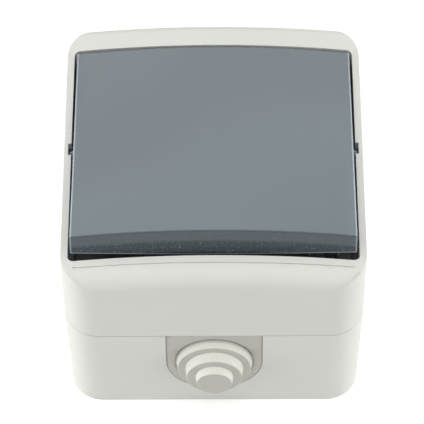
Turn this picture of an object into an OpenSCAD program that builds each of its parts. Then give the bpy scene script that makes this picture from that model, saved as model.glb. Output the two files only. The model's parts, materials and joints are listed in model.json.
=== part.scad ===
// Surface mounted splash-proof rocker switch, lying on its back.
// The wall face is Z = 0, the front looks along +Z, and the cable comes in from the -Y side.
// The rocker is drawn as it stands at rest, with its near end out.

/* [Housing] */
// Width of the housing where cover and base box meet
body_w = 66; // [60:1:76]
// Height of the housing where cover and base box meet
body_h = 71; // [67:1:80]
// Depth of the base box from the wall to the split
base_d = 26.8; // [26:0.2:32]
// Depth of the cover from the split to the crest of its front
cover_d = 22.1; // [21:0.1:26]
// Radius of the housing's four upright corners
corner_r = 7.8; // [6.5:0.1:9]
// How far each side of the base box draws in towards the wall
base_draft = 0.6; // [0.2:0.1:1.2]
// Wall of the base box
base_wall = 2.6; // [2.4:0.1:2.8]
// Back plate of the base box
back_t = 2.4; // [2:0.1:3]

/* [Cover] */
// Side wall of the cover, seen as the narrow strip beside the rocker
cover_wall = 1.6; // [1.4:0.05:1.9]
// Radius of the crowned front, which is curved across the width only
crown_r = 228; // [180:1:400]
// Rounding from the front to the side with the cable entry
near_edge_r = 4.3; // [3:0.1:5]
// Rounding from the front to the opposite side
far_edge_r = 2.4; // [1.5:0.1:3]
// Rim of the front between the rocker and the cable entry side
near_rim = 6; // [5.5:0.1:7]
// Rim of the front on the opposite side
far_rim = 6.6; // [6:0.1:8]
// Corner radius of the opening for the rocker
opening_corner_r = 1.3; // [0.8:0.1:2]
// Wall of the well that the rocker stands in
well_wall = 1.2; // [1:0.1:1.6]
// Thickness of the well's floor
floor_t = 1.6; // [1.4:0.1:2]
// Height of the cover's skirt between the split and the underside of the floor
skirt_d = 10.8; // [10.6:0.1:12]
// Distance of the engraved line from the rocker's opening
line_gap = 1.9; // [1.5:0.1:2.4]
// Width of the engraved line
line_w = 0.3; // [0.2:0.05:0.6]
// Depth of the engraved line
line_depth = 0.25; // [0.2:0.05:0.5]
// Thickness of the skin over the hollow rims
skin_t = 1.8; // [1.4:0.1:2.2]

/* [Rocker] */
// Gap between the rocker and each side of its opening
side_gap = 0.65; // [0.4:0.05:0.9]
// Gap between the rocker and each end of its opening
end_gap = 0.3; // [0.2:0.05:0.5]
// Angle that the rocker leans from level at rest, with its near end out
rocker_tilt = 5.3; // [4:0.1:5.5]
// Height of the rocker's pivot above the floor of the well
pivot_rise = 4.8; // [4.7:0.1:5.2]
// Place of the rocker's pivot along the height of the housing
pivot_y = 1; // [0:0.1:1.6]
// Height of the rocker's crest above its pivot
rocker_crest = 8.04; // [7.4:0.02:8.4]
// Depth of the rocker's cap from its crest to its lower edge
rocker_cap_d = 6.4; // [5.8:0.1:6.5]
// Shell of the rocker
rocker_wall = 1.6; // [1.3:0.1:2]
// Rounding along the rocker's near end
rocker_near_r = 1.6; // [0.6:0.1:2.2]
// Rounding along the rocker's far end
rocker_far_r = 0.6; // [0.4:0.1:1]
// Radius of the pegs that the rocker turns on
peg_r = 1.5; // [1.3:0.05:1.6]
// Length of the peg beyond the rocker's side
peg_len = 1.2; // [1:0.05:1.3]

/* [Cable entry] */
// Distance of the entry's centre from the split
entry_drop = 10.8; // [10:0.1:11.8]
// Half the width of the entry plate, which is round below its centre
plate_r = 10.5; // [10:0.1:11.5]
// How far the plate lies back from the face of the box
plate_recess = 0.3; // [0.1:0.05:0.6]
// Radii of the three steps of the membrane at their foot
step_r = [8.65, 6.6, 4.4];
// Heights of the three step faces above the face of the box
step_rise = [1.5, 3.75, 5.5];
// How much each step narrows towards its face
step_draft = 0.45; // [0.2:0.05:0.6]
// Wall of the stepped membrane
membrane_t = 1.1; // [0.8:0.1:1.4]

/* [Switch mechanism] */
// Width of the mechanism's moulded body
insert_w = 34; // [33:0.5:35]
// Height of the mechanism's moulded body
insert_h = 38; // [36:0.5:39]
// Depth of the mechanism's moulded body
insert_d = 16; // [15.6:0.1:16.4]
// Height of the mechanism's body above the wall
insert_z = 8; // [7.6:0.1:8.4]
// Thickness of the mechanism's top frame
frame_t = 1.6; // [1.4:0.1:2]
// Height of the toggle's axle above the top frame
toggle_rise = 2.4; // [2.3:0.1:2.6]
// Height of the rocker's tongue tip above the toggle's axle
tongue_reach = 5; // [4.8:0.1:5.2]
// Length of the toggle's lower arm from its axle to the plunger's nose
plunger_reach = 9; // [8.8:0.1:9.2]
// Angle of the contact rocker at rest
contact_tilt = 6; // [4:0.5:7]
// Distance of the contact tips from the contact rocker's pivot
contact_arm = 9; // [8:0.1:9.4]

/* [Fasteners] */
// Radius of the shank of every mounting screw
screw_r = 1.5; // [1.3:0.05:1.6]
// Radius of the holes for the wall screws
wall_hole_r = 2.25; // [2:0.05:2.5]
// Distance between the two wall screws
wall_hole_pitch = 52; // [51:0.5:54]

/* [Hidden] */
$fn = 48;
fine_fn = 96;                           // long roundings that show on the outside
crown_fn = 360;                         // the crown, whose radius is large
crown_sweep = 20;                       // degrees of the crown that are drawn

// Clearances
play = 0.05;                            // running play round every pin
seat = 0.15;                            // gap between parts that seat on one another
screw_gap = 0.2;                        // round a screw in a hole that it passes through
over = 1;                               // how far a cutter runs past the face that it cuts

// Colours
SHELL = [0.87, 0.87, 0.84];
SHELL_LIGHT = [0.89, 0.89, 0.86];
ROCKER_GREY = [0.40, 0.43, 0.46];
GROMMET_GREY = [0.73, 0.73, 0.70];
RUBBER = [0.08, 0.08, 0.08];
MOULDING = [0.93, 0.93, 0.90];
TOGGLE_WHITE = [0.85, 0.85, 0.82];
BRASS = [0.80, 0.66, 0.36];
SILVER = [0.84, 0.84, 0.86];
STEEL = [0.68, 0.69, 0.71];

// Housing places
body_d = base_d + cover_d;
split_gap = 0.15;                       // visible line between box and cover
box_top = base_d - split_gap;
floor_low = base_d + skirt_d;           // underside of the well's floor
floor_z = floor_low + floor_t;          // top of the well's floor
well_near = -body_h / 2 + near_rim;
well_far = body_h / 2 - far_rim;
well_half_w = body_w / 2 - cover_wall;
crown_z = body_d - crown_r;             // axis of the crowned front
web_t = 1.6;                            // webs that tie posts to a wall

// Housing seal in the rim of the box
seal_in = 0.8;                          // from the outline to the seal
seal_w = 0.9;
groove_d = 1;

// Base box details
pad_x = 12;                             // pads under the mechanism
pad_y = 14;
pad_r = 3;
boss_r = 5;                             // bosses round the wall screws
boss_h = 1.2;
pilot_z = 10;                           // where the screws' pilot holes end
back_rib_h = 1.4;

// Cover details
lip_t = 1.2;                            // centring lip under the cover
lip_d = 2.2;
lip_root = 3;                           // how far up the skirt the lip is rooted
lip_bite = 0.1;                         // overlap of the lip's root with the skirt
lip_break = 3;                          // the lip stops this far beside the entry plate
head_sink = 5;                          // cover screw heads below the well's floor
head_room = 0.3;                        // round a screw head in its hole
tongue_slot_w = 12;
tongue_slot_h = 9;
line_dot_r = 0.35;                      // round ends of the engraved line
line_end = 0.9;                         // the line stops this far short of the rocker's side
rim_cell_count = 5;

// Rocker places
pivot_z = floor_z + pivot_rise;
rocker_half_w = well_half_w - side_gap;
near_reach = pivot_y - well_near - end_gap;         // from the pivot to the near end
far_reach = well_far - pivot_y - end_gap;           // from the pivot to the far end
cap_low = rocker_crest - rocker_cap_d;              // lower edge of the cap above the pivot
rib_t = 1.2;
rocker_rib_x = 14;
rocker_rib_y = 13;
ear_r = peg_r + 0.7;
ear_t = 2;
ear_h = 2.5;                                        // how far an ear reaches up into the cap
peg_end_gap = 0.15;
tongue_t = 1.4;
tongue_w = 6;
tongue_tip_r = 1.2;
tongue_foot = 5;                                    // half length of the tongue's web at its root

// Seal in the well
seal_t = 1;
seal_lip_t = 0.9;
seal_lip_h = 1.2;
seal_edge_gap = 0.3;
collar_t = 1;
collar_h = 1.2;
collar_w = tongue_w + 0.6;
collar_l = 4.6;                                     // along the tongue's swing
seal_head_gap = 0.6;                                // round the cover screws

// Entry plate
entry_z = base_d - entry_drop;                      // height of its centre above the wall
entry_flange_t = 1.6;
entry_flange_y = -body_h / 2 + base_wall;           // inner face of the near wall
entry_lap = 1.4;                                    // flange beyond the plate's edge
entry_lip_room = 0.3;                               // flange below the mouth of the box
rail_w = 1.4;
rail_lap = 0.4;                                     // rails past the flange
rail_bite = 0.5;                                    // rails into the wall
rail_low = 2;                                       // rails below the mouth of the box

// Mechanism places
insert_top = insert_z + insert_d;
insert_corner_r = 2;
frame_top = insert_top + frame_t;
frame_opening_h = 20;
toggle_z = frame_top + toggle_rise;
tongue_z = toggle_z + tongue_reach;
toggle_ratio = (pivot_z - tongue_z) / tongue_reach; // the toggle turns further than the rocker
toggle_tilt = rocker_tilt * toggle_ratio;
nose_z = toggle_z - plunger_reach;
hub_r = 3;
hub_w = 10.2;
axle_r = 1.5;
axle_short = 0.2;                                   // axle ends inside the cheeks' faces
cheek_t = 2.2;
cheek_in = hub_w / 2 + seat;
cheek_l = 8;
eye_wall = 1.4;                                     // round the axle's bearing
prong_t = 1.4;
prong_past_tip = 0.1;                               // prongs past the tongue's round tip
fork_floor_gap = 0.5;                               // below the tongue's round tip
barrel_r = 2.8;
barrel_end = -plunger_reach + 2.6;                  // lower end, from the toggle's axis
plunger_r = 1.7;
plunger_shank = 4.4;
stem_r = 0.7;                                       // stem that centres the spring
stem_h = 1;
spring_head = 1.6;                                  // bore above the toggle's axis
spring_wire_r = 0.25;
spring_turns = 6;

// Contacts
contact_plate_t = 0.8;
contact_w = 4.6;
contact_ridge_r = 0.8;
contact_plate_low = contact_ridge_r + play;
contact_z = nose_z - contact_plate_t - contact_plate_low - play;
saddle_drop = 0.3;                                  // saddle below the ridge's axis
rivet_r = 0.7;
tip_r = 1.6;
tip_t = 0.8;
chamber_w = 10.6;
chamber_h = 28;
chamber_floor = 1.6;
// The fixed tips lie just under the moving ones when these are down
tip_drop = (contact_arm + tip_r * cos(contact_tilt)) * sin(contact_tilt);
tip_lift = (contact_plate_low - tip_t) * cos(contact_tilt);
tip_face_z = contact_z - tip_drop + tip_lift - play;

// Terminals, with a place in plan for each clamp
clamp_w = 7;
clamp_d = 7.6;
clamp_wall = 1;
clamp_side = 2.1;                                   // from a clamp to the body's side
clamp_x = insert_w / 2 - clamp_side - clamp_w / 2;
clamp_z = insert_z + chamber_floor;
common_place = [clamp_x, pivot_y];
one_place = [-clamp_x, pivot_y + contact_arm];
two_place = [-clamp_x, pivot_y - contact_arm];
clamp_places = [common_place, one_place, two_place];
bar_t = 1;
bar_w = 4;
bar_z = tip_face_z - tip_t - bar_t;
knee_gap = 0.6;                                     // between a clamp and the bar's knee
wire_hole_r = 1.9;
terminal_screw_r = 1.5;
terminal_screw_rise = 2.6;                          // heads above the clamps
terminal_screw_len = 7;
terminal_head_r = 2.1;
terminal_head_h = 1.8;
terminal_hole_r = terminal_head_r + 0.5;

// Fastener places
cover_post = [24, -22];                             // one post, and its mirror through the middle
cover_posts = [cover_post, -cover_post];
post_r = 4;
cover_screw_len = 20;
insert_screw_len = 12;
head_r = 2.9;
head_h = 2;
slot_share = 0.5;                                   // depth of a screw's slot in its head
slot_w = 0.8;
insert_post_gap = 0.8;                              // between a post and the mechanism's side
insert_post_r = 3.2;
insert_post_x = insert_w / 2 + insert_post_gap + insert_post_r;
insert_posts = [[insert_post_x, pivot_y], [-insert_post_x, pivot_y]];
wall_holes = [[0, wall_hole_pitch / 2], [0, -wall_hole_pitch / 2]];

// A rectangle with round corners, given by its sides
module round_rect(x1, y1, x2, y2, r) {
    translate([x1 + r, y1]) square([x2 - x1 - 2 * r, y2 - y1]);
    translate([x1, y1 + r]) square([x2 - x1, y2 - y1 - 2 * r]);
    for (x = [x1 + r, x2 - r], y = [y1 + r, y2 - r]) translate([x, y]) circle(r);
}

// The housing's outline, drawn in by some amount all round
module outline(inset) {
    round_rect(-body_w / 2 + inset, -body_h / 2 + inset,
        body_w / 2 - inset, body_h / 2 - inset, corner_r - inset);
}

// A cylinder that lies along X, centred there
module bar_x(r, length) {
    rotate([0, 90, 0]) cylinder(r = r, h = length, center = true);
}

// The box that lies between two corners
module between(low, high) {
    translate(low) cube(high - low);
}

// A flat box that spans two places along X and is centred on a place along Y
module strap(x1, x2, y, width, z1, z2) {
    between([min(x1, x2), y - width / 2, z1], [max(x1, x2), y + width / 2, z2]);
}

// Upright cylinders at a list of places in plan
module pins(places, r, z1, z2) {
    for (p = places) translate([p.x, p.y, z1]) cylinder(r = r, h = z2 - z1);
}

// Turns the profile (distance from the axis, place along Y) about an axis along Y at height z
module crown(z, sweep) {
    translate([0, 0, z]) rotate([-90, 0, 0]) rotate([0, 0, -90 - sweep / 2])
        rotate_extrude(angle = sweep, $fn = crown_fn) children();
}

// A frame that follows the housing's outline
module seal_ring(inset, width, low, high) {
    translate([0, 0, low]) linear_extrude(high - low) difference() {
        outline(inset);
        outline(inset + width);
    }
}

// The outside of the base box, which is widest at its mouth
module box_block(height) {
    foot_r = corner_r - base_draft;
    run_x = body_w / 2 - corner_r;
    run_y = body_h / 2 - corner_r;
    top_in = (base_d - height) * base_draft / base_d;
    rotate([90, 0, 90]) linear_extrude(2 * run_x, center = true) polygon([
        [-body_h / 2 + base_draft, 0], [body_h / 2 - base_draft, 0],
        [body_h / 2 - top_in, height], [-body_h / 2 + top_in, height]]);
    rotate([90, 0, 0]) linear_extrude(2 * run_y, center = true) polygon([
        [-body_w / 2 + base_draft, 0], [body_w / 2 - base_draft, 0],
        [body_w / 2 - top_in, height], [-body_w / 2 + top_in, height]]);
    for (x = [-run_x, run_x], y = [-run_y, run_y]) translate([x, y, 0])
        cylinder(r1 = foot_r, r2 = corner_r - top_in, h = height);
}

// The cut-out for the cable entry: round below its centre and open at the top
module entry_outline(grow) {
    r = plate_r + grow;
    circle(r);
    translate([-r, 0]) square([2 * r, box_top - entry_z + over]);
}

// Brings an outline drawn upright in X and Z to the near wall, from y1 to y2
module on_near_wall(y1, y2) {
    translate([0, y2, entry_z]) rotate([90, 0, 0]) linear_extrude(y2 - y1) children();
}

// The groove in the mouth of the box, which runs on over the entry plate
module seal_groove() {
    seal_ring(seal_in, seal_w, box_top - groove_d, box_top + over);
}

// The box that is screwed to the wall: posts, pads for the mechanism, and the cable entry
module base_box() color(SHELL_LIGHT) {
    difference() {
        union() {
            difference() {
                box_block(box_top);
                translate([0, 0, back_t]) linear_extrude(base_d) outline(base_wall);
                seal_groove();
            }
            pins(cover_posts, post_r, back_t, box_top);
            pins(insert_posts, insert_post_r, back_t, insert_top);
            for (p = cover_posts) post_web(p, box_top);
            for (p = insert_posts) post_web(p, insert_top);
            for (x = [-pad_x, pad_x], y = [-pad_y, pad_y])
                pins([[x, pivot_y + y]], pad_r, back_t, insert_z);
            pins(wall_holes, boss_r, back_t, back_t + boss_h);
            back_ribs();
            entry_rails();
        }
        on_near_wall(-body_h / 2 - over, entry_flange_y) entry_outline(seat);
        pins(wall_holes, wall_hole_r, -over, back_t + boss_h + over);
        pins(wall_holes, boss_r - 1, back_t, back_t + boss_h + over);
        pins(cover_posts, screw_r + play, pilot_z, box_top + over);
        pins(insert_posts, screw_r + play, pilot_z, insert_top + over);
    }
}

// A web that ties a screw post to the side wall next to it
module post_web(place, top) {
    wall_x = body_w / 2 - base_wall + base_draft;
    strap(place.x, place.x > 0 ? wall_x : -wall_x, place.y, web_t, back_t, top - web_t);
}

// Low stiffening ribs on the inside of the back
module back_ribs() {
    half_l = body_h / 2 - base_wall - corner_r + base_draft;
    top = back_t + back_rib_h;
    for (x = [-pad_x, pad_x])
        between([x - rib_t / 2, -half_l, back_t], [x + rib_t / 2, half_l, top]);
    for (y = [-pad_y, pad_y]) strap(-pad_x, pad_x, pivot_y + y, rib_t, back_t, top);
}

// The two rails inside the near wall that hold the flange of the entry plate
module entry_rails() {
    inner = plate_r + entry_lap + seat;
    for (side = [-1, 1]) between(
        [side * (inner + rail_w / 2) - rail_w / 2, entry_flange_y - rail_bite, back_t],
        [side * (inner + rail_w / 2) + rail_w / 2, entry_flange_y + entry_flange_t + rail_lap,
            box_top - rail_low]);
}

// The rubber seal between the box and the cover
module box_seal() color(RUBBER)
    seal_ring(seal_in + play, seal_w - 2 * play, box_top - groove_d, base_d);

// What is cut away above the front: the crown, a long near rounding and a short far rounding
module front_cutter() {
    near = -body_h / 2;
    far = body_h / 2;
    crown(crown_z, crown_sweep) {
        translate([crown_r, near - over]) square([cover_d / 2, body_h + 2 * over]);
        difference() {
            translate([crown_r - near_edge_r, near - over])
                square([near_edge_r + over, near_edge_r + over]);
            translate([crown_r - near_edge_r, near + near_edge_r])
                circle(near_edge_r, $fn = fine_fn);
        }
        difference() {
            translate([crown_r - far_edge_r, far - far_edge_r])
                square([far_edge_r + over, far_edge_r + over]);
            translate([crown_r - far_edge_r, far - far_edge_r])
                circle(far_edge_r, $fn = fine_fn);
        }
    }
}

// The cover as a full block, with its front crowned across the width
module cover_block() {
    difference() {
        translate([0, 0, base_d]) linear_extrude(cover_d + over) outline(0);
        front_cutter();
    }
}

// The well that the rocker stands in
module well_outline(inset) {
    round_rect(-well_half_w + inset, well_near + inset,
        well_half_w - inset, well_far - inset, opening_corner_r);
}

// A hollow behind one rim of the front, split into cells by ribs
module rim_cells(y1, y2, top) {
    span = body_w - 2 * corner_r;
    pitch = (span + rib_t) / rim_cell_count;
    for (i = [0:rim_cell_count - 1]) {
        x = -span / 2 + i * pitch;
        between([x, y1, floor_low - over], [x + pitch - rib_t, y2, top]);
    }
}

// The engraved line beside the opening, with its round ends
module engraved_line() {
    y = well_near - line_gap;
    half_angle = asin((rocker_half_w - line_end) / crown_r);
    low = crown_r - line_depth;
    crown(crown_z, 2 * half_angle)
        translate([low, y - line_w / 2]) square([over, line_w]);
    for (a = [-half_angle, half_angle]) translate([0, y, crown_z]) rotate([0, a, 0])
        translate([0, 0, low]) cylinder(r = line_dot_r, h = over);
}

// The cover: crowned front, rocker well, peg notches, engraved line and screw bosses
module cover() color(SHELL) {
    sag = crown_r - sqrt(pow(crown_r, 2) - pow(body_w / 2 - corner_r, 2));
    near_in = -body_h / 2 + cover_wall;
    far_in = body_h / 2 - cover_wall;
    difference() {
        union() {
            difference() {
                cover_block();
                translate([0, 0, base_d - over]) linear_extrude(skirt_d + over)
                    outline(cover_wall);
                translate([0, 0, floor_z]) linear_extrude(cover_d) well_outline(0);
                rim_cells(near_in, well_near - well_wall, body_d - near_edge_r - sag);
                rim_cells(well_far + well_wall, far_in, body_d - skin_t - far_edge_r - sag);
            }
            cover_lip();
            pins(cover_posts, post_r, base_d, floor_low + over / 2);
        }
        for (side = [-1, 1]) peg_notch(side);
        engraved_line();
        pins(cover_posts, screw_r + screw_gap, base_d - over, floor_z);
        pins(cover_posts, head_r + head_room, floor_z - head_sink, floor_z + over);
        between([-tongue_slot_w / 2, pivot_y - tongue_slot_h / 2, floor_low - over],
            [tongue_slot_w / 2, pivot_y + tongue_slot_h / 2, floor_z + over]);
    }
}

// The lip under the cover that centres it in the mouth of the box
module cover_lip() {
    inset = base_wall + seat;
    break_x = plate_r + lip_break;
    break_y = -body_h / 2 + corner_r;
    low = base_d - lip_d;
    difference() {
        seal_ring(cover_wall - lip_bite, inset + lip_t - cover_wall + lip_bite,
            base_d, base_d + lip_root);
        between([-break_x, -body_h / 2, base_d - over], [break_x, break_y, base_d]);
    }
    difference() {
        seal_ring(inset, lip_t, low, base_d + lip_root);
        between([-break_x, -body_h / 2, low - over], [break_x, break_y, base_d]);
        for (p = insert_posts) lip_gap(p, insert_post_r, low);
        for (p = cover_posts) lip_gap(p, post_r, low);
    }
}

// A gap in the lip beside a screw post
module lip_gap(place, r, low) {
    strap(place.x, place.x > 0 ? body_w / 2 : -body_w / 2, place.y, 2 * r, low - over, base_d);
}

// The open slot in a side wall that a peg snaps into and turns in
module peg_notch(side) {
    depth = peg_len - side_gap + peg_end_gap;
    cut = depth + 2 * play;
    middle = side * (well_half_w + depth / 2 - play);
    translate([middle, pivot_y, pivot_z]) bar_x(peg_r + play, cut);
    strap(middle - cut / 2, middle + cut / 2, pivot_y, 2 * (peg_r + play),
        pivot_z, pivot_z + cover_d);
}

// The rubber lining of the well, with a collar round the rocker's tongue
module well_seal() color(RUBBER) {
    difference() {
        translate([0, 0, floor_z]) union() {
            linear_extrude(seal_t) well_outline(seal_edge_gap);
            linear_extrude(seal_t + seal_lip_h) difference() {
                well_outline(seal_edge_gap);
                well_outline(seal_edge_gap + seal_lip_t);
            }
            linear_extrude(seal_t + collar_h) translate([0, pivot_y])
                square([collar_w + 2 * collar_t, collar_l + 2 * collar_t], center = true);
        }
        strap(-collar_w / 2, collar_w / 2, pivot_y, collar_l, floor_z - over, pivot_z);
        pins(cover_posts, head_r + seal_head_gap, floor_z - over, floor_z + seal_t + over);
    }
}

// Turns a moving part from level to the place that it has at rest
module at_rest(axis_z, angle) {
    translate([0, pivot_y, axis_z]) rotate([angle, 0, 0]) children();
}

// One half of the cap's profile, from its middle to one end. The end wall leans in, because
// its upper corner turns on the same circle about the pivot as its lower one.
module cap_half(reach, edge_r, inset) {
    end_y = sqrt(pow(reach, 2) - pow(rocker_crest, 2)) - inset;
    lean = atan((reach - inset - end_y) / rocker_cap_d);
    drop = rocker_cap_d + over - inset;
    r = max(edge_r - inset, rocker_wall / 5);
    cut = r / tan(45 + lean / 2);
    translate([crown_r - inset, end_y]) {
        polygon([
            [-drop, drop * tan(lean)], [-cut * cos(lean), cut * sin(lean)],
            [0, -cut], [0, -end_y - over], [-drop, -end_y - over]]);
        translate([-r, -cut]) circle(r);
    }
}

// The crowned cap, drawn level about its pivot
module cap_block(inset) {
    crown(rocker_crest - crown_r, crown_sweep) {
        cap_half(far_reach, rocker_far_r, inset);
        mirror([0, 1]) cap_half(near_reach, rocker_near_r, inset);
    }
}

// The rocker: a crowned cap with ribs, two ears with pegs, and the tongue for the toggle
module rocker() color(ROCKER_GREY) at_rest(pivot_z, -rocker_tilt) {
    inner_half = rocker_half_w - rocker_wall;
    difference() {
        intersection() {
            cap_block(0);
            between([-rocker_half_w, -near_reach - over, cap_low],
                [rocker_half_w, far_reach + over, 2 * rocker_crest]);
        }
        difference() {
            intersection() {
                cap_block(rocker_wall);
                between([-inner_half, -near_reach - over, cap_low - over],
                    [inner_half, far_reach + over, 2 * rocker_crest]);
            }
            rocker_ribs();
        }
    }
    for (side = [-1, 1]) rocker_ear(side);
    rocker_tongue();
}

// The grid of ribs that stays under the cap
module rocker_ribs() {
    low = cap_low + over;
    for (x = [-rocker_rib_x, rocker_rib_x]) between(
        [x - rib_t / 2, -near_reach, low], [x + rib_t / 2, far_reach, low + rocker_crest]);
    for (y = [-rocker_rib_y, 0, rocker_rib_y])
        strap(-rocker_half_w, rocker_half_w, y, rib_t, low, low + rocker_crest);
}

// One ear with its peg
module rocker_ear(side) {
    outer = side * rocker_half_w;
    middle = side * (rocker_half_w - ear_t / 2);
    translate([middle, 0, 0]) bar_x(ear_r, ear_t);
    strap(outer, outer - side * ear_t, 0, 2 * ear_r, 0, cap_low + ear_h);
    translate([outer + side * peg_len / 2, 0, 0]) bar_x(peg_r, peg_len + play);
}

// The blade under the middle of the cap, with a round tip for the toggle's fork
module rocker_tongue() {
    tip = tongue_z - pivot_z;
    root = rocker_crest - rocker_wall / 2;
    web_low = cap_low - tongue_t;
    translate([0, 0, tip]) bar_x(tongue_tip_r, tongue_w);
    strap(-tongue_w / 2, tongue_w / 2, 0, tongue_t, tip, root - rocker_wall);
    rotate([90, 0, 90]) linear_extrude(rib_t, center = true) polygon([
        [-tongue_foot, root - rocker_wall], [-tongue_t / 2, web_low],
        [tongue_t / 2, web_low], [tongue_foot, root - rocker_wall]]);
    strap(-tongue_w / 2, tongue_w / 2, 0, rib_t, cap_low, root);
}

// The entry plate with its stepped membrane, one soft moulding
module cable_grommet() color(GROMMET_GREY) {
    face = -body_h / 2 + plate_recess;
    flange_r = plate_r + entry_lap;
    flange_top = box_top - entry_lip_room - entry_z;
    difference() {
        union() {
            intersection() {
                on_near_wall(face, entry_flange_y) entry_outline(0);
                between([-body_w, -body_h, 0], [body_w, body_h, box_top]);
            }
            intersection() {
                on_near_wall(entry_flange_y + seat, entry_flange_y + entry_flange_t) {
                    circle(flange_r);
                    translate([-flange_r, 0]) square([2 * flange_r, flange_top]);
                }
                between([-body_w, -body_h, back_t + seat], [body_w, body_h, box_top]);
            }
            on_near_wall(entry_flange_y - play, entry_flange_y + seat + play)
                circle(plate_r - membrane_t);
            membrane(0);
        }
        membrane(membrane_t);
        seal_groove();
    }
}

// The three steps, either as the outside or as the hollow behind them
module membrane(inset) {
    inner_y = base_wall + entry_flange_t;           // from the face of the box to the flange's back
    feet = [0, step_rise[0], step_rise[1]];         // each step starts on the one before it
    for (i = [0:2]) {
        foot = inset > 0 ? feet[i] - inset - play : feet[i] - base_wall / 2;
        low = inset > 0 && i == 0 ? -inner_y - over : foot;
        high = step_rise[i] - inset;
        translate([0, -body_h / 2 - low, entry_z]) rotate([90, 0, 0])
            cylinder(r1 = step_r[i] - inset, r2 = step_r[i] - step_draft - inset, h = high - low);
    }
}

// The moulded body that holds the terminals and the contact rocker
module insert_body() color(MOULDING) {
    pocket = clamp_w + 2 * seat;
    slot = bar_w + 2 * seat;
    difference() {
        translate([0, 0, insert_z]) linear_extrude(insert_d) insert_outline();
        strap(-chamber_w / 2, chamber_w / 2, pivot_y, chamber_h, clamp_z, insert_top + over);
        for (p = clamp_places) {
            strap(p.x - pocket / 2, p.x + pocket / 2, p.y, pocket, clamp_z, insert_top + over);
            strap(0, p.x, p.y, slot, clamp_z, insert_top + over);
            translate([p.x, p.y, clamp_z + clamp_d / 2]) rotate([0, p.x > 0 ? 90 : -90, 0])
                cylinder(r = wire_hole_r, h = insert_w / 2);
        }
    }
}

module insert_outline() {
    translate([0, pivot_y])
        round_rect(-insert_w / 2, -insert_h / 2, insert_w / 2, insert_h / 2, insert_corner_r);
}

// The top frame: screw ears, cheeks that carry the toggle, and holes over the terminal screws
module insert_frame() color(MOULDING) {
    difference() {
        union() {
            translate([0, 0, insert_top]) linear_extrude(frame_t) insert_outline();
            pins(insert_posts, insert_post_r, insert_top, frame_top);
            strap(-insert_post_x, insert_post_x, pivot_y, 2 * insert_post_r,
                insert_top, frame_top);
            for (side = [-1, 1]) frame_cheek(side);
        }
        translate([0, pivot_y, toggle_z])
            bar_x(axle_r + play, 2 * (cheek_in + cheek_t) + over);
        strap(-cheek_in, cheek_in, pivot_y, frame_opening_h, insert_top - over, frame_top + over);
        pins(insert_posts, screw_r + screw_gap, insert_top - over, frame_top + over);
        pins(clamp_places, terminal_hole_r, insert_top - over, frame_top + over);
    }
}

// An upright cheek with the bearing of one axle end
module frame_cheek(side) {
    eye_r = axle_r + eye_wall;
    translate([side * (cheek_in + cheek_t / 2), pivot_y, 0])
        rotate([90, 0, 90]) linear_extrude(cheek_t, center = true) {
            translate([-cheek_l / 2, insert_top]) square([cheek_l, frame_t + frame_t / 3]);
            translate([0, toggle_z]) circle(eye_r);
            polygon([[-cheek_l / 2, frame_top], [cheek_l / 2, frame_top],
                [eye_r - seat, toggle_z], [seat - eye_r, toggle_z]]);
        }
}

// The toggle: hub with axle ends, a fork above and the plunger's barrel below
module toggle() color(TOGGLE_WHITE) at_rest(toggle_z, toggle_tilt) {
    slot = 2 * (tongue_tip_r + seat);
    fork_top = tongue_reach + tongue_tip_r + prong_past_tip;
    fork_floor = tongue_reach - tongue_tip_r - fork_floor_gap;
    difference() {
        union() {
            bar_x(hub_r, hub_w);
            bar_x(axle_r, 2 * (cheek_in + cheek_t - axle_short));
            strap(-tongue_w / 2, tongue_w / 2, 0, slot + 2 * prong_t, 0, fork_top);
            pins([[0, 0]], barrel_r, barrel_end, 0);
        }
        strap(-hub_w / 2, hub_w / 2, 0, slot, fork_floor, fork_top + over);
        pins([[0, 0]], plunger_r + play, barrel_end - over, spring_head);
    }
}

// The sprung plunger, with a round nose that runs on the contact rocker
module plunger() color(SHELL) at_rest(toggle_z, toggle_tilt) {
    translate([0, 0, -plunger_reach + plunger_r]) {
        sphere(plunger_r);
        cylinder(r = plunger_r, h = plunger_shank);
        cylinder(r = stem_r, h = plunger_shank + stem_h);
    }
}

// A closed tube swept along a helix
module coil(coil_r, wire_r, length, turns) {
    steps = 16;
    sides = 8;
    rings = turns * steps;
    points = [for (i = [0:rings], j = [0:sides - 1])
        let (a = 360 * i / steps, b = 360 * j / sides, r = coil_r + wire_r * cos(b))
            [r * cos(a), r * sin(a),
                wire_r + (length - 2 * wire_r) * i / rings + wire_r * sin(b)]];
    skin = [for (i = [0:rings - 1], j = [0:sides - 1])
        let (k = (j + 1) % sides)
            [i * sides + j, (i + 1) * sides + j, (i + 1) * sides + k, i * sides + k]];
    low_cap = [for (j = [0:sides - 1]) j];
    high_cap = [for (j = [sides - 1:-1:0]) rings * sides + j];
    polyhedron(points, concat(skin, [low_cap, high_cap]), convexity = 8);
}

// The compression spring between the plunger and the end of its bore
module plunger_spring() color(STEEL) at_rest(toggle_z, toggle_tilt) {
    low = -plunger_reach + plunger_r + plunger_shank + play;
    translate([0, 0, low])
        coil(plunger_r - spring_wire_r - play, spring_wire_r,
            spring_head - play - low, spring_turns);
}

// The see-saw that carries the moving contacts, with a saddle on the common terminal's ridge
module contact_rocker() color(BRASS) at_rest(contact_z, -contact_tilt) {
    half_l = contact_arm + tip_r;
    plate_top = contact_plate_low + contact_plate_t;
    difference() {
        union() {
            between([-contact_w / 2, -half_l, contact_plate_low],
                [contact_w / 2, half_l, plate_top]);
            intersection() {
                bar_x(plate_top, contact_w);
                between([-contact_w, -plate_top, -saddle_drop],
                    [contact_w, plate_top, plate_top]);
            }
        }
        bar_x(contact_plate_low, 2 * contact_w);
        pins([[0, contact_arm], [0, -contact_arm]], rivet_r + play / 2, 0, plate_top + over);
    }
}

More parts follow.
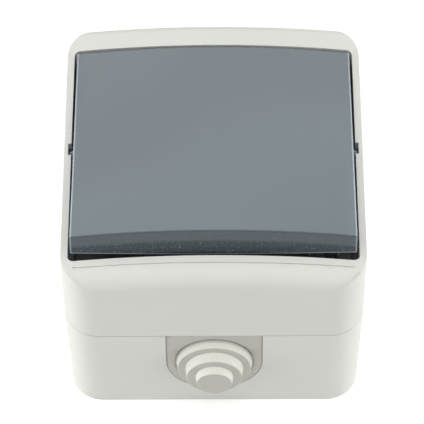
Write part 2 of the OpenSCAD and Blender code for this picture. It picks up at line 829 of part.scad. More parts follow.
// The silver rivets at both ends of the contact rocker
module moving_contacts() color(SILVER) at_rest(contact_z, -contact_tilt) {
    tips = [[0, contact_arm], [0, -contact_arm]];
    pins(tips, tip_r, contact_plate_low - tip_t, contact_plate_low);
    pins(tips, rivet_r, contact_plate_low, contact_plate_low + contact_plate_t);
}

// The silver rivets on the two fixed bars
module fixed_contacts() color(SILVER) {
    tips = [[0, pivot_y + contact_arm], [0, pivot_y - contact_arm]];
    pins(tips, tip_r, bar_z + bar_t, tip_face_z);
    pins(tips, rivet_r, bar_z, bar_z + bar_t);
}

// A terminal bar that runs from under the contacts into its clamp
module terminal_bar(place, riveted) {
    side = place.x > 0 ? 1 : -1;
    inner_end = -side * bar_w / 2;
    outer_end = place.x + side * (clamp_w / 2 - clamp_wall - seat);
    knee = place.x - side * (clamp_w / 2 + knee_gap);
    foot = clamp_z + clamp_wall + seat;
    difference() {
        union() {
            strap(inner_end, knee, place.y, bar_w, bar_z, bar_z + bar_t);
            strap(knee, outer_end, place.y, bar_w, foot, foot + bar_t);
            strap(knee - bar_t / 2, knee + bar_t / 2, place.y, bar_w,
                min(bar_z, foot), max(bar_z, foot) + bar_t);
        }
        if (riveted) pins([[0, place.y]], rivet_r + play / 2, bar_z - over, bar_z + bar_t + over);
    }
}

// The common terminal, whose upright ends in the ridge that the contact rocker turns on
module terminal_common() color(BRASS) {
    terminal_bar(common_place, false);
    translate([0, pivot_y, contact_z]) bar_x(contact_ridge_r, bar_w);
    strap(-bar_w / 2, bar_w / 2, pivot_y, bar_t, bar_z, contact_z);
}

// The terminal of the far contact
module terminal_one() color(BRASS) terminal_bar(one_place, true);

// The terminal of the near contact
module terminal_two() color(BRASS) terminal_bar(two_place, true);

// The square clamps that the screws draw up on the bars
module clamp_cages() color(STEEL)
    for (p = clamp_places) difference() {
        strap(p.x - clamp_w / 2, p.x + clamp_w / 2, p.y, clamp_w, clamp_z, clamp_z + clamp_d);
        strap(p.x - clamp_w, p.x + clamp_w, p.y, clamp_w - 2 * clamp_wall,
            clamp_z + clamp_wall, clamp_z + clamp_d - 2 * clamp_wall);
        pins([p], terminal_screw_r + play, clamp_z + clamp_d / 2, clamp_z + clamp_d + over);
    }

// A screw with a slotted cheese head, drawn with the underside of its head at z = 0
module slotted_screw(shank_r, length, r, height) {
    difference() {
        union() {
            cylinder(r = r, h = height);
            translate([0, 0, -length]) cylinder(r = shank_r, h = length + play);
        }
        translate([-slot_w / 2, -r - over, height * slot_share])
            cube([slot_w, 2 * (r + over), height]);
    }
}

// The three screws of the clamps
module terminal_screws() color(STEEL)
    for (p = clamp_places) translate([p.x, p.y, clamp_z + clamp_d + terminal_screw_rise])
        slotted_screw(terminal_screw_r, terminal_screw_len, terminal_head_r, terminal_head_h);

// The two screws that hold the mechanism in the box
module insert_screws() color(STEEL)
    for (p = insert_posts) translate([p.x, p.y, frame_top])
        slotted_screw(screw_r, insert_screw_len, head_r, head_h);

// The two screws that hold the cover on the box
module cover_screws() color(STEEL)
    for (p = cover_posts) translate([p.x, p.y, floor_z - head_sink])
        slotted_screw(screw_r, cover_screw_len, head_r, head_h);

base_box();
box_seal();
cover();
well_seal();
rocker();
cable_grommet();
insert_body();
insert_frame();
toggle();
plunger();
plunger_spring();
contact_rocker();
moving_contacts();
fixed_contacts();
terminal_common();
terminal_one();
terminal_two();
clamp_cages();
terminal_screws();
insert_screws();
cover_screws();
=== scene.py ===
"""Looks for the surface mounted light switch, drawn in metres in the frame of the CAD part."""
import json
import math

import bmesh
import bpy
from mathutils import Matrix, Vector


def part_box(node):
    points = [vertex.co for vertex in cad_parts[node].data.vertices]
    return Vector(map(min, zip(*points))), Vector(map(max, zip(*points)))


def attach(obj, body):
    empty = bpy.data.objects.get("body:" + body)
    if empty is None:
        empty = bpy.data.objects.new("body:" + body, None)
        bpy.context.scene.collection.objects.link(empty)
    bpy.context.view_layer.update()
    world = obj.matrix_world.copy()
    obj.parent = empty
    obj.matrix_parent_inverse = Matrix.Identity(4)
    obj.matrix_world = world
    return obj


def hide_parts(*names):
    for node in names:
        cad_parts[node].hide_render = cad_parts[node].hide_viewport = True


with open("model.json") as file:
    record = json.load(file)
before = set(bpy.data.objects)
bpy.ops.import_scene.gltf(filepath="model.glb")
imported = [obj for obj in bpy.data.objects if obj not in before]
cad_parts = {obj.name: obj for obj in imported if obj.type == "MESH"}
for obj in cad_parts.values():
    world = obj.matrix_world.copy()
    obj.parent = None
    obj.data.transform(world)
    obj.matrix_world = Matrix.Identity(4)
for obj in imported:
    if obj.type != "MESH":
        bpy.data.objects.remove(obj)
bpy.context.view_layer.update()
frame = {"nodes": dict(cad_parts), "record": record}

MM = 0.001
UP = Vector((0, 0, 1))
TINY = 1e-9               # keeps a division away from zero

# The photo's camera, from a perspective fit to the housing's edges
PHOTO_PX = 424
FOCAL_PX = 2759.92
SENSOR_MM = 36.0
CAMERA_ELEVATION = 53.693
CAMERA_AZIMUTH = 0.383
CAMERA_ROLL = -0.540
CAMERA_DISTANCE = 627.48 * MM
CAMERA_TARGET = Vector((-0.430, -0.071, 24.43)) * MM
CAMERA_CLIP = (0.01, 20.0)

# Colours in sRGB from 0 to 255, as the mouldings look in plain light, apart from the painted
# light marked below
SHELL = (226, 227, 221)
SHELL_BASE = (228, 229, 223)
ROCKER = (47, 54, 61)
ROCKER_PAINTED_REFLECTION = (82, 91, 96)     # painted reflection: the paler band under the crown, on the rocker's near end
DUST = (176, 178, 176)
PAINTED_HIGHLIGHT = (168, 178, 185)   # painted highlight: the thin bright line along each side edge of the rocker
ENTRY = (196, 195, 187)
# painted light: the paler sides of the entry's steps, where light falls from above
ENTRY_PAINTED_LIGHT = (227, 226, 217)
SEAL = (84, 86, 84)
MOULDING = (232, 231, 224)
BRASS = (208, 170, 92)
SILVER = (222, 222, 226)
STEEL = (178, 180, 184)
FLOOR = (236, 236, 235)

# Colours that are already linear
WHITE = (1.0, 1.0, 1.0, 1.0)
ROCKER_GLOSS = (0.80, 0.93, 0.98, 1.0)   # the slightly cool sheen of the tinted plastic

# What all the finishes share: cloudy patches, a fine grain and the bevel of their edges
CLOUD_SCALE = 90.0
CLOUD_DETAIL = 3.0
CLOUD_ROUGHNESS = 0.55
CLOUD_RANGE = (0.3, 0.7)       # the part of the cloud's values that changes the roughness
ROUGHNESS_SWING = 0.12         # by this share up and down
GRAIN_SCALE = 2600.0
GRAIN_DETAIL = 2.0
GRAIN_ROUGHNESS = 0.6
GRAIN_DEPTH = 0.1 * MM
BRUSH_STRETCH = (1.0, 0.06, 1.0)
EDGE = 0.35 * MM               # the small radius of a moulded edge
BEVEL_SAMPLES = 6

# Edges that turn by more degrees than this stay sharp. Points closer than the gap are merged.
SMOOTH_ANGLE = 32.0
MERGE_GAP = 0.002 * MM

# Where the cover's near rounding blends into its round corners, and by how much, in mm
BLEND_Y = (-31.8, -32.8)
BLEND_Z = (34.0, 38.0)
BLEND_R = 2.4

# The rocker's form, in mm, level about its pivot
ROCKER_TILT = 5.3
PIVOT_Y = 1.0
PIVOT_Z = 44.0
ROCKER_CREST = 8.04
CROWN_R = 228.0
END_Y = 29.11
NEAR_EDGE_CUT = 1.352     # the near rounding starts this far from its corner
CUT_SLACK = 0.02
CRISP_SHARE = 0.26        # what the photo shows of that rounding
ROCKER_LEVEL = Matrix.Rotation(math.radians(ROCKER_TILT), 3, "X")
ROCKER_PIVOT = Vector((0, PIVOT_Y, PIVOT_Z)) * MM
CROWN_AXIS_Z = (ROCKER_CREST - CROWN_R) * MM

# The rocker's near end: how deep below the crown its band of painted reflection reaches, and
# where painted highlights make edges bright
REFLECTION_BAND_DEPTH = (2.3, 3.1)
HIGHLIGHT_X = (30.35, 30.55, 30.8)   # where the painted highlight on the sides starts, is full, and ends
CAP_FOOT_Z = 221.6                    # the cap's lower edge above the crown's axis
# where the painted highlight along the foot of the near end fades in
FOOT_HIGHLIGHT_Z = (CAP_FOOT_Z + 0.1, CAP_FOOT_Z + 0.35)
HIGHLIGHT_UP = 0.8            # the painted highlight on the sides is on faces that look up at least this much
HIGHLIGHT_SHARE = 0.75

# Dust on the rocker's near end
SPECK_SCALE = 3400.0
SPECK_DETAIL = 1.0
SPECK_FROM = (0.62, 0.74)
SPECK_SHARE = 0.4
SPECK_ON_BAND = 0.45      # what the painted reflection band shows of the specks

# The entry membrane, in mm: how its plate, its steps and the hollow behind them are shaped
ENTRY_Z = 16.0
BOX_FACE_Y = -35.5
PLATE_R = 10.6
PLATE_Y = BOX_FACE_Y + 0.3
PLATE_TOP = 26.65
PLATE_CORNER_R = 1.1
PLATE_EDGE_R = 0.4
SEAL_STEP_Y = -34.75      # behind this the plate stays below the housing's seal
SEAL_STEP_TOP = 25.6
FLANGE_R = 11.9
FLANGE_TOP = 26.35
FLANGE_Y = (-32.75, -31.3)
GROOVE_R = (9.05, 8.5)    # the soft groove round the first step
GROOVE_LIP = 0.05         # its outer wall starts this far in and this deep
GROOVE_CURVE = 0.25       # and ends this far in
GROOVE_DEPTH = 1.1
GROOVE_FADE = 0.75        # the share of that depth that goes away from the groove's top
STEP_FOOT_R = (8.44, 6.43, 4.21)
STEP_FACE_R = (8.2, 6.15, 3.95)
STEP_RISE = (1.5, 3.75, 5.5)
STEP_EDGE_R = 0.22
STEP_CREASE = 0.12        # depth and width of the crease at the foot of a step
STEP_LIP = 0.02           # the step's wall starts this far inside and in front of its foot
MEMBRANE_T = 1.1
LATHE_STEPS = 144
ROUNDING_STEPS = 5

# Where light is painted on the membrane, in mm: on sides, told by the normal's Y, that stand in
# front of the plate or are out on its rim
SIDE_NORMAL_Y = (-0.95, -0.6)
PAINTED_LIGHT_FROM_Y = (-35.2, -35.9)
PAINTED_LIGHT_FROM_R = 9.7

# The floor: just under the object, with an opening that keeps inside its rounded foot
FLOOR_Z = -0.02 * MM
FLOOR_REACH = 3.0
FLOOR_STEPS = 96
FOOT_INSET = 0.9 * MM     # inside the foot, which draws in by 0.6 mm from the widest outline
FOOT_R = 7.0 * MM
FLOOR_LIFT = 0.35         # glow that the floor adds where it is seen directly

# Brightness of the surround as diffuse light. The camera and glossy surfaces see plain white.
SURROUND = 0.17

# Each soft box: name, direction, distance, width, height, brightness, whether it lights the
# object, and whether it shows in the object's gloss
PANEL_TARGET = Vector((0, 0, 30)) * MM
PANELS = (
    ("back_low_box", (0.0, 0.862, 0.507), 0.8, 1.05, 0.297, 3.25, False, True),
    ("back_high_box", (0.0, 0.588, 0.809), 0.8, 1.05, 0.369, 4.35, False, True),
    ("upper_box", (0.0, -0.25, 1.0), 0.82, 1.2, 1.1, 2.2, False, True),
    ("top_box", (0.0, -0.18, 1.0), 1.0, 1.2, 1.2, 1.46, True, False),
    ("left_box", (-1.0, -0.1, 0.2), 0.9, 1.0, 0.6, 4.0, True, False),
    ("right_box", (1.0, -0.1, 0.2), 0.9, 1.0, 0.6, 3.55, True, False),
    ("left_rim_box", (-0.66, 0.62, 0.42), 0.85, 0.14, 0.6, 9.0, False, True),
    ("right_rim_box", (0.66, 0.62, 0.42), 0.85, 0.14, 0.6, 8.0, False, True),
    ("under_box", (0.0, -0.01, -1.0), 1.2, 0.9, 0.9, 1.1, True, False),
)


def linear(rgb):
    """An sRGB colour from 0 to 255 as the linear RGBA that shaders take."""
    parts = [c / 255 for c in rgb]
    return [c / 12.92 if c <= 0.04045 else ((c + 0.055) / 1.055) ** 2.4 for c in parts] + [1.0]


def shaded(rgb, factor):
    """A colour made a little lighter or darker."""
    return [min(c * factor, 1.0) for c in linear(rgb)[:3]] + [1.0]


class Nodes:
    """Adds and links nodes in one tree. The short forms return the new node's result."""

    def __init__(self, tree):
        self.tree = tree

    def add(self, kind, inputs=None, **settings):
        node = self.tree.nodes.new(kind)
        for key, value in settings.items():
            setattr(node, key, value)
        for key, value in (inputs or {}).items():
            if isinstance(value, bpy.types.NodeSocket):
                self.tree.links.new(value, node.inputs[key])
            else:
                node.inputs[key].default_value = value
        return node

    def coordinate(self, kind):
        return self.add("ShaderNodeTexCoord").outputs[kind]

    def axis(self, vector, letter):
        return self.add("ShaderNodeSeparateXYZ", {0: vector}).outputs[letter]

    def math(self, operation, a, b=0.0):
        return self.add("ShaderNodeMath", {0: a, 1: b}, operation=operation).outputs[0]

    def fade(self, value, start, end, at_start=0.0, at_end=1.0):
        """What goes from one level to another while the value goes from start to end."""
        return self.add("ShaderNodeMapRange", {
            "Value": value, "From Min": start, "From Max": end, "To Min": at_start,
            "To Max": at_end}).outputs["Result"]

    def mix(self, share, a, b):
        return self.add("ShaderNodeMix", {"Factor": share, "A": a, "B": b},
                        data_type="RGBA").outputs[2]

    def noise(self, place, scale, detail, roughness=0.5):
        return self.add("ShaderNodeTexNoise", {
            "Vector": place, "Scale": scale, "Detail": detail,
            "Roughness": roughness}).outputs["Fac"]


def material(name, rgb, roughness, grain=0.06, variation=0.05, metallic=0.0, specular=0.5,
             gloss_tint=WHITE, edge=EDGE, brushed=False, dress=None, blend=None):
    """A procedural finish: a cloudy tint, uneven roughness, a fine grain and soft edges."""
    mat = bpy.data.materials.new(name)
    mat.use_nodes = True
    mat.node_tree.nodes.clear()
    n = Nodes(mat.node_tree)
    place = n.coordinate("Object")
    if brushed:
        place = n.add("ShaderNodeMapping", {"Vector": place, "Scale": BRUSH_STRETCH}).outputs[0]
    cloud = n.noise(place, CLOUD_SCALE, CLOUD_DETAIL, CLOUD_ROUGHNESS)
    fine = n.noise(place, GRAIN_SCALE, GRAIN_DETAIL, GRAIN_ROUGHNESS)
    colour = n.mix(cloud, shaded(rgb, 1 - variation), shaded(rgb, 1 + variation))
    rough = n.fade(cloud, *CLOUD_RANGE, roughness * (1 - ROUGHNESS_SWING),
                   min(roughness * (1 + ROUGHNESS_SWING), 1.0))
    if dress:
        colour = dress(n, colour)
    soft = n.add("ShaderNodeBevel", {"Radius": blend(n, place, edge) if blend else edge},
                 samples=BEVEL_SAMPLES)
    bump = n.add("ShaderNodeBump", {"Height": fine, "Strength": grain, "Distance": GRAIN_DEPTH,
                                    "Normal": soft.outputs["Normal"]})
    shader = n.add("ShaderNodeBsdfPrincipled", {
        "Base Color": colour, "Roughness": rough, "Metallic": metallic,
        "Specular IOR Level": specular, "Specular Tint": gloss_tint,
        "Normal": bump.outputs["Normal"]})
    n.add("ShaderNodeOutputMaterial", {"Surface": shader.outputs["BSDF"]})
    return mat


def corner_blend(n, place, edge):
    """The bevel's radius: small all over, and large on the near rounding and its corners."""
    near = n.fade(n.axis(place, "Y"), BLEND_Y[0] * MM, BLEND_Y[1] * MM)
    high = n.fade(n.axis(place, "Z"), BLEND_Z[0] * MM, BLEND_Z[1] * MM)
    return n.fade(n.math("MULTIPLY", near, high), 0.0, 1.0, edge, BLEND_R * MM)


def painted_lit_sides(n, colour):
    """Painted light: the entry's sides, which look across or up, are painted paler than its
    faces.
    """
    side = n.fade(n.axis(n.coordinate("Normal"), "Y"), *SIDE_NORMAL_Y)
    place = n.coordinate("Object")
    proud = n.fade(n.axis(place, "Y"), PAINTED_LIGHT_FROM_Y[0] * MM, PAINTED_LIGHT_FROM_Y[1] * MM)
    middle = (0, BOX_FACE_Y * MM, ENTRY_Z * MM)
    radius = n.add("ShaderNodeVectorMath", {0: place, 1: middle}, operation="DISTANCE")
    on_rim = n.math("GREATER_THAN", radius.outputs["Value"], PAINTED_LIGHT_FROM_R * MM)
    painted_light = n.math("MULTIPLY", side, n.math("MAXIMUM", proud, on_rim))
    return n.mix(painted_light, colour, linear(ENTRY_PAINTED_LIGHT))


def painted_edge_highlight(n, colour, place, local, on_end):
    """A painted highlight: the thin bright line along the rocker's side edges and the foot of its
    near end.
    """
    x = n.math("ABSOLUTE", n.axis(place, "X"))
    rim = n.fade(x, HIGHLIGHT_X[0] * MM, HIGHLIGHT_X[1] * MM)
    inside = n.math("LESS_THAN", x, HIGHLIGHT_X[2] * MM)
    up = n.math("GREATER_THAN", n.axis(n.coordinate("Normal"), "Z"), HIGHLIGHT_UP)
    side = n.math("MULTIPLY", n.math("MULTIPLY", rim, inside), n.math("MAXIMUM", up, on_end))
    foot = n.fade(n.axis(local, "Z"), FOOT_HIGHLIGHT_Z[1] * MM, FOOT_HIGHLIGHT_Z[0] * MM)
    line = n.math("MAXIMUM", side, n.math("MULTIPLY", foot, on_end))
    return n.mix(n.math("MULTIPLY", line, HIGHLIGHT_SHARE), colour, linear(PAINTED_HIGHLIGHT))


def dust_and_painted_light(n, colour):
    """The rocker's near end: a paler band of painted reflection, painted highlights on its edges,
    and specks of dust.
    """
    place = n.coordinate("Object")
    # Measured from the crown's axis, with the rocker level
    shift = -(ROCKER_LEVEL @ ROCKER_PIVOT) - UP * CROWN_AXIS_Z
    local = n.add("ShaderNodeMapping", {"Vector": place, "Location": shift,
                                        "Rotation": ROCKER_LEVEL.to_euler()}).outputs[0]
    across = n.add("ShaderNodeVectorMath", {0: local, 1: (1, 0, 1)}, operation="MULTIPLY")
    radius = n.add("ShaderNodeVectorMath", {0: across.outputs[0]}, operation="LENGTH")
    # Painted reflection: a paler band painted on the near end, just below the crown
    high = n.fade(radius.outputs["Value"], (CROWN_R - REFLECTION_BAND_DEPTH[1]) * MM,
                  (CROWN_R - REFLECTION_BAND_DEPTH[0]) * MM)
    on_end = n.math("LESS_THAN", n.axis(local, "Y"), -END_Y * MM)
    painted_reflection = n.math("MULTIPLY", high, on_end)
    colour = n.mix(painted_reflection, colour, linear(ROCKER_PAINTED_REFLECTION))
    # Painted highlights on the side edges and along the foot of the near end
    colour = painted_edge_highlight(n, colour, place, local, on_end)
    specks = n.fade(n.noise(place, SPECK_SCALE, SPECK_DETAIL), *SPECK_FROM, 0.0, SPECK_SHARE)
    shown = n.fade(painted_reflection, 0.0, 1.0, 1.0, SPECK_ON_BAND)
    dots = n.math("MULTIPLY", n.math("MULTIPLY", specks, on_end), shown)
    return n.mix(dots, colour, linear(DUST))


def smooth_by_angle(obj):
    """Smooth shading that keeps every sharper edge, as a modifier."""
    group = bpy.data.node_groups.get("soft_shading")
    if group is None:
        group = bpy.data.node_groups.new("soft_shading", "GeometryNodeTree")
        for way in ("INPUT", "OUTPUT"):
            group.interface.new_socket("Geometry", in_out=way,
                                       socket_type="NodeSocketGeometry")
        n = Nodes(group)
        start = n.add("NodeGroupInput")
        merged = n.add("GeometryNodeMergeByDistance", {"Geometry": start.outputs[0],
                                                       "Distance": MERGE_GAP})
        faces = n.add("GeometryNodeSetShadeSmooth", {"Geometry": merged.outputs[0],
                                                     "Shade Smooth": True}, domain="FACE")
        turn = n.add("GeometryNodeInputMeshEdgeAngle")
        gentle = n.add("FunctionNodeCompare", {"A": turn.outputs["Unsigned Angle"],
                                               "B": math.radians(SMOOTH_ANGLE)},
                       data_type="FLOAT", operation="LESS_EQUAL")
        edges = n.add("GeometryNodeSetShadeSmooth", {"Geometry": faces.outputs[0],
                                                     "Shade Smooth": gentle.outputs[0]},
                      domain="EDGE")
        n.add("NodeGroupOutput", {0: edges.outputs[0]})
    obj.modifiers.new("soft shading", "NODES").node_group = group


# One finish for each material slot of the record
FINISHES = {
    "shell": material("shell", SHELL, 0.6, grain=0.05, variation=0.012, specular=0.15,
                      edge=0.15 * MM, blend=corner_blend),
    "shell_light": material("shell_light", SHELL_BASE, 0.6, grain=0.05, variation=0.012,
                            specular=0.15),
    # The rocker's near end carries dust and painted light: a reflection band and edge highlights
    "rocker_grey": material("rocker_grey", ROCKER, 0.2, grain=0.015, variation=0.02,
                            gloss_tint=ROCKER_GLOSS, edge=0.4 * MM, dress=dust_and_painted_light),
    "entry_grey": material("entry_grey", ENTRY, 0.62, grain=0.1, variation=0.03,
                           edge=0.2 * MM, dress=painted_lit_sides),
    "seal_rubber": material("seal_rubber", SEAL, 0.7, grain=0.15, variation=0.1),
    "moulding_white": material("moulding_white", MOULDING, 0.5, variation=0.02),
    "brass": material("brass", BRASS, 0.3, metallic=1.0, variation=0.05, brushed=True),
    "silver": material("silver", SILVER, 0.25, metallic=1.0, variation=0.04),
    "steel": material("steel", STEEL, 0.35, metallic=1.0, variation=0.06, brushed=True),
}


def finish_solids():
    """Gives each solid of the part the finish that its slot in the record names."""
    slot_of = {part["node"]: part["material_slot"] for part in frame["record"]["subparts"]}
    for node_name, obj in frame["nodes"].items():
        obj.data.materials.clear()
        obj.data.materials.append(FINISHES[slot_of[node_name]])
        smooth_by_angle(obj)


def new_piece(name, mesh, finish):
    """A piece of the scene's own, in one finish."""
    piece = bpy.data.objects.new(name, mesh)
    bpy.context.scene.collection.objects.link(piece)
    mesh.materials.clear()
    mesh.materials.append(FINISHES[finish])
    smooth_by_angle(piece)
    return piece


def plate_outline(angle, radius, top):
    """A point of the plate's outline: round below the centre, square with round corners above."""
    across, up = math.cos(angle), math.sin(angle)
    if up <= 0:
        return radius * across, radius * up
    rise = top - ENTRY_Z
    reach = min(radius / max(abs(across), TINY), rise / up)
    x, z = across * reach, up * reach
    # Points that fall in the square corner are brought back to its rounding
    in_x = abs(x) - (radius - PLATE_CORNER_R)
    in_z = z - (rise - PLATE_CORNER_R)
    if in_x > 0 and in_z > 0:
        shrink = PLATE_CORNER_R / math.hypot(in_x, in_z)
        x = math.copysign(radius - PLATE_CORNER_R + in_x * shrink, x)
        z = rise - PLATE_CORNER_R + in_z * shrink
    return x, z


def quarter(start, end, radius_first):
    """A small rounding from one (radius, y) to another, which sets off along one of the two."""
    rows = []
    for step in range(ROUNDING_STEPS + 1):
        turn = math.pi / 2 * step / ROUNDING_STEPS
        early, late = math.sin(turn), 1 - math.cos(turn)
        radius_share, y_share = (early, late) if radius_first else (late, early)
        rows.append((start[0] + (end[0] - start[0]) * radius_share,
                     start[1] + (end[1] - start[1]) * y_share))
    return rows


def membrane_profile():
    """The membrane's rows, each (radius, y), from the groove in its plate to the last step."""
    outer, inner = GROOVE_R
    groove_y = PLATE_Y + GROOVE_DEPTH
    rows = [(outer, PLATE_Y)]
    rows += quarter((outer - GROOVE_LIP, PLATE_Y + GROOVE_LIP), (outer - GROOVE_CURVE, groove_y),
                    radius_first=True)
    rows.append((inner, groove_y))
    foot_y = PLATE_Y
    for i, (foot_r, face_r, rise) in enumerate(zip(STEP_FOOT_R, STEP_FACE_R, STEP_RISE)):
        face_y = BOX_FACE_Y - rise
        if i:
            rows.append((foot_r + STEP_CREASE, foot_y))
            rows.append((foot_r, foot_y + STEP_CREASE))
        rows.append((foot_r - STEP_LIP, foot_y - STEP_LIP))
        rows += quarter((face_r, face_y + STEP_EDGE_R), (face_r - STEP_EDGE_R, face_y),
                        radius_first=False)
        foot_y = face_y
    return rows


def hollow_profile():
    """The rows of the hollow behind the steps, from the flange's back to the middle."""
    rows = []
    back_y = FLANGE_Y[1]
    for foot_r, face_r, rise in zip(STEP_FOOT_R, STEP_FACE_R, STEP_RISE):
        rows.append((foot_r - MEMBRANE_T, back_y))
        back_y = BOX_FACE_Y - rise + MEMBRANE_T
        rows.append((face_r - MEMBRANE_T, back_y))
    return rows


def entry_membrane():
    """The soft entry plate with its groove, three rounded steps and flange, as one skin."""
    form = bmesh.new()
    rows = []

    def add_row(point):
        """One ring of the skin. The point gives x, the height over the entry's middle, and y."""
        row = []
        for step in range(LATHE_STEPS):
            x, height, y = point(2 * math.pi * (step + 0.5) / LATHE_STEPS)
            row.append(form.verts.new((x * MM, y * MM, (height + ENTRY_Z) * MM)))
        rows.append(row)

    def outline_row(radius, top, y):
        add_row(lambda angle: (*plate_outline(angle, radius, top), y))

    for radius, y in hollow_profile()[::-1]:
        add_row(lambda angle: (radius * math.cos(angle), radius * math.sin(angle), y))
    for y in FLANGE_Y[::-1]:
        outline_row(FLANGE_R, FLANGE_TOP, y)
    outline_row(PLATE_R, SEAL_STEP_TOP, FLANGE_Y[0])
    outline_row(PLATE_R, SEAL_STEP_TOP, SEAL_STEP_Y)
    outline_row(PLATE_R, PLATE_TOP, SEAL_STEP_Y)
    for inset, y in quarter((0, PLATE_Y + PLATE_EDGE_R), (PLATE_EDGE_R, PLATE_Y),
                            radius_first=False):
        outline_row(PLATE_R - inset, PLATE_TOP - inset, y)
    for radius, y in membrane_profile():
        sunk = max(y - PLATE_Y, 0) * GROOVE_FADE
        add_row(lambda angle: (radius * math.cos(angle), radius * math.sin(angle),
                               y - sunk * (1 - max(math.sin(angle), 0))))
    for near, far in zip(rows, rows[1:]):
        for step in range(LATHE_STEPS):
            after = (step + 1) % LATHE_STEPS
            form.faces.new((near[step], near[after], far[after], far[step]))
    form.faces.new(rows[0])
    form.faces.new(rows[-1])
    bmesh.ops.recalc_face_normals(form, faces=form.faces)
    mesh = bpy.data.meshes.new("entry_membrane")
    form.to_mesh(mesh)
    form.free()
    piece = new_piece("entry_membrane", mesh, "entry_grey")
    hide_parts("cable_grommet")
    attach(piece, "housing")


def crisp_rocker():
    """The rocker with the crisper near edge of the photo: its rounding is drawn in."""
    source = frame["nodes"]["rocker"]
    piece = new_piece("crisp_rocker", source.data.copy(), "rocker_grey")
    piece.matrix_world = source.matrix_world
    reach = (NEAR_EDGE_CUT + CUT_SLACK) * MM
    for vertex in piece.data.vertices:
        x, y, z = ROCKER_LEVEL @ (vertex.co - ROCKER_PIVOT)
        inset = y + END_Y * MM
        depth = CROWN_R * MM - math.hypot(x, z - CROWN_AXIS_Z)
        if abs(inset) < reach and abs(depth) < reach:
            radius = CROWN_R * MM - depth * CRISP_SHARE
            moved = Vector((x, inset * CRISP_SHARE - END_Y * MM,
                            CROWN_AXIS_Z + math.sqrt(radius ** 2 - x ** 2)))
            vertex.co = ROCKER_LEVEL.transposed() @ moved + ROCKER_PIVOT
    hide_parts("rocker")
    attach(piece, "rocker")


def aim(obj, place, target):
    """Puts an object at a place with its -Z axis on the target, which isn't right above it."""
    back = (place - target).normalized()
    right = UP.cross(back).normalized()
    turn = Matrix((right, back.cross(right), back)).transposed().to_4x4()
    obj.matrix_world = Matrix.Translation(place) @ turn


def photo_camera():
    """The camera that the photo was taken with."""
    el = math.radians(CAMERA_ELEVATION)
    az = math.radians(CAMERA_AZIMUTH)
    roll = math.radians(CAMERA_ROLL)
    back = Vector((math.sin(az) * math.cos(el), -math.cos(az) * math.cos(el), math.sin(el)))
    right = Vector((math.cos(az), math.sin(az), 0))
    up = back.cross(right)
    turned_right = math.cos(roll) * right + math.sin(roll) * up
    turned_up = math.cos(roll) * up - math.sin(roll) * right
    data = bpy.data.cameras.new("photo_camera")
    data.sensor_width = SENSOR_MM
    data.lens = FOCAL_PX / PHOTO_PX * SENSOR_MM
    data.clip_start, data.clip_end = CAMERA_CLIP
    camera = bpy.data.objects.new("photo_camera", data)
    bpy.context.scene.collection.objects.link(camera)
    turn = Matrix((turned_right, turned_up, back)).transposed().to_4x4()
    camera.matrix_world = Matrix.Translation(CAMERA_TARGET + back * CAMERA_DISTANCE) @ turn
    bpy.context.scene.camera = camera


def panel(name, direction, distance, width, height, radiance, lights, mirrors):
    """A soft box of a given brightness, which lights the object or shows in its gloss."""
    data = bpy.data.lights.new(name, "AREA")
    data.shape = "RECTANGLE"
    data.size = width
    data.size_y = height
    data.energy = radiance * math.pi * width * height
    lamp = bpy.data.objects.new(name, data)
    lamp.visible_diffuse = lights
    lamp.visible_glossy = mirrors
    bpy.context.scene.collection.objects.link(lamp)
    aim(lamp, PANEL_TARGET + Vector(direction).normalized() * distance, PANEL_TARGET)


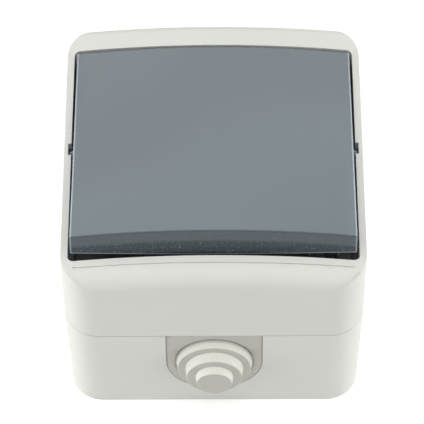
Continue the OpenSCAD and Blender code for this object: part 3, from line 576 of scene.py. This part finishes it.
def floor_mesh():
    """A wide floor with an opening just inside the object's foot, so that its back shows."""
    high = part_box("base_box")[1]
    run_x = high[0] - FOOT_INSET - FOOT_R
    run_y = high[1] - FOOT_INSET - FOOT_R
    form = bmesh.new()
    inner, outer = [], []
    for step in range(FLOOR_STEPS):
        angle = 2 * math.pi * (step + 0.5) / FLOOR_STEPS
        across, along = math.cos(angle), math.sin(angle)
        inner.append(form.verts.new((math.copysign(run_x, across) + FOOT_R * across,
                                     math.copysign(run_y, along) + FOOT_R * along, FLOOR_Z)))
        outer.append(form.verts.new((FLOOR_REACH * across, FLOOR_REACH * along, FLOOR_Z)))
    for step in range(FLOOR_STEPS):
        after = (step + 1) % FLOOR_STEPS
        form.faces.new((inner[step], outer[step], outer[after], inner[after]))
    mesh = bpy.data.meshes.new("floor")
    form.to_mesh(mesh)
    form.free()
    return mesh


def seen_directly(n):
    """1 for the camera's rays and those off a glossy or through a clear surface, and else 0."""
    path = n.add("ShaderNodeLightPath")
    seen = n.math("MAXIMUM", path.outputs["Is Camera Ray"], path.outputs["Is Glossy Ray"])
    return n.math("MAXIMUM", seen, path.outputs["Is Transmission Ray"])


def pale_floor():
    """The floor: pale cloth from above, lifted to white, and clear from below."""
    mesh = floor_mesh()
    floor = bpy.data.objects.new("floor", mesh)
    bpy.context.scene.collection.objects.link(floor)
    mat = bpy.data.materials.new("floor")
    mat.use_nodes = True
    mat.node_tree.nodes.clear()
    n = Nodes(mat.node_tree)
    lift = n.math("MULTIPLY", seen_directly(n), FLOOR_LIFT)
    cloth = n.add("ShaderNodeBsdfDiffuse", {"Color": linear(FLOOR)})
    glow = n.add("ShaderNodeEmission", {"Color": WHITE, "Strength": lift})
    both = n.add("ShaderNodeAddShader", {0: cloth.outputs[0], 1: glow.outputs[0]})
    below = n.add("ShaderNodeNewGeometry").outputs["Backfacing"]
    clear = n.add("ShaderNodeBsdfTransparent")
    one_sided = n.add("ShaderNodeMixShader", {0: below, 1: both.outputs[0], 2: clear.outputs[0]})
    n.add("ShaderNodeOutputMaterial", {"Surface": one_sided.outputs[0]})
    mesh.materials.append(mat)


def surround():
    """A world that is white where it is seen, and that gives little diffuse light."""
    world = bpy.data.worlds.new("surround")
    bpy.context.scene.world = world
    world.use_nodes = True
    world.node_tree.nodes.clear()
    n = Nodes(world.node_tree)
    level = n.fade(seen_directly(n), 0.0, 1.0, SURROUND, 1.0)
    sky = n.add("ShaderNodeBackground", {"Color": WHITE, "Strength": level})
    n.add("ShaderNodeOutputWorld", {"Surface": sky.outputs[0]})


finish_solids()
entry_membrane()
crisp_rocker()
photo_camera()
pale_floor()
surround()
for settings in PANELS:
    panel(*settings)
bpy.context.scene.view_settings.view_transform = "Standard"
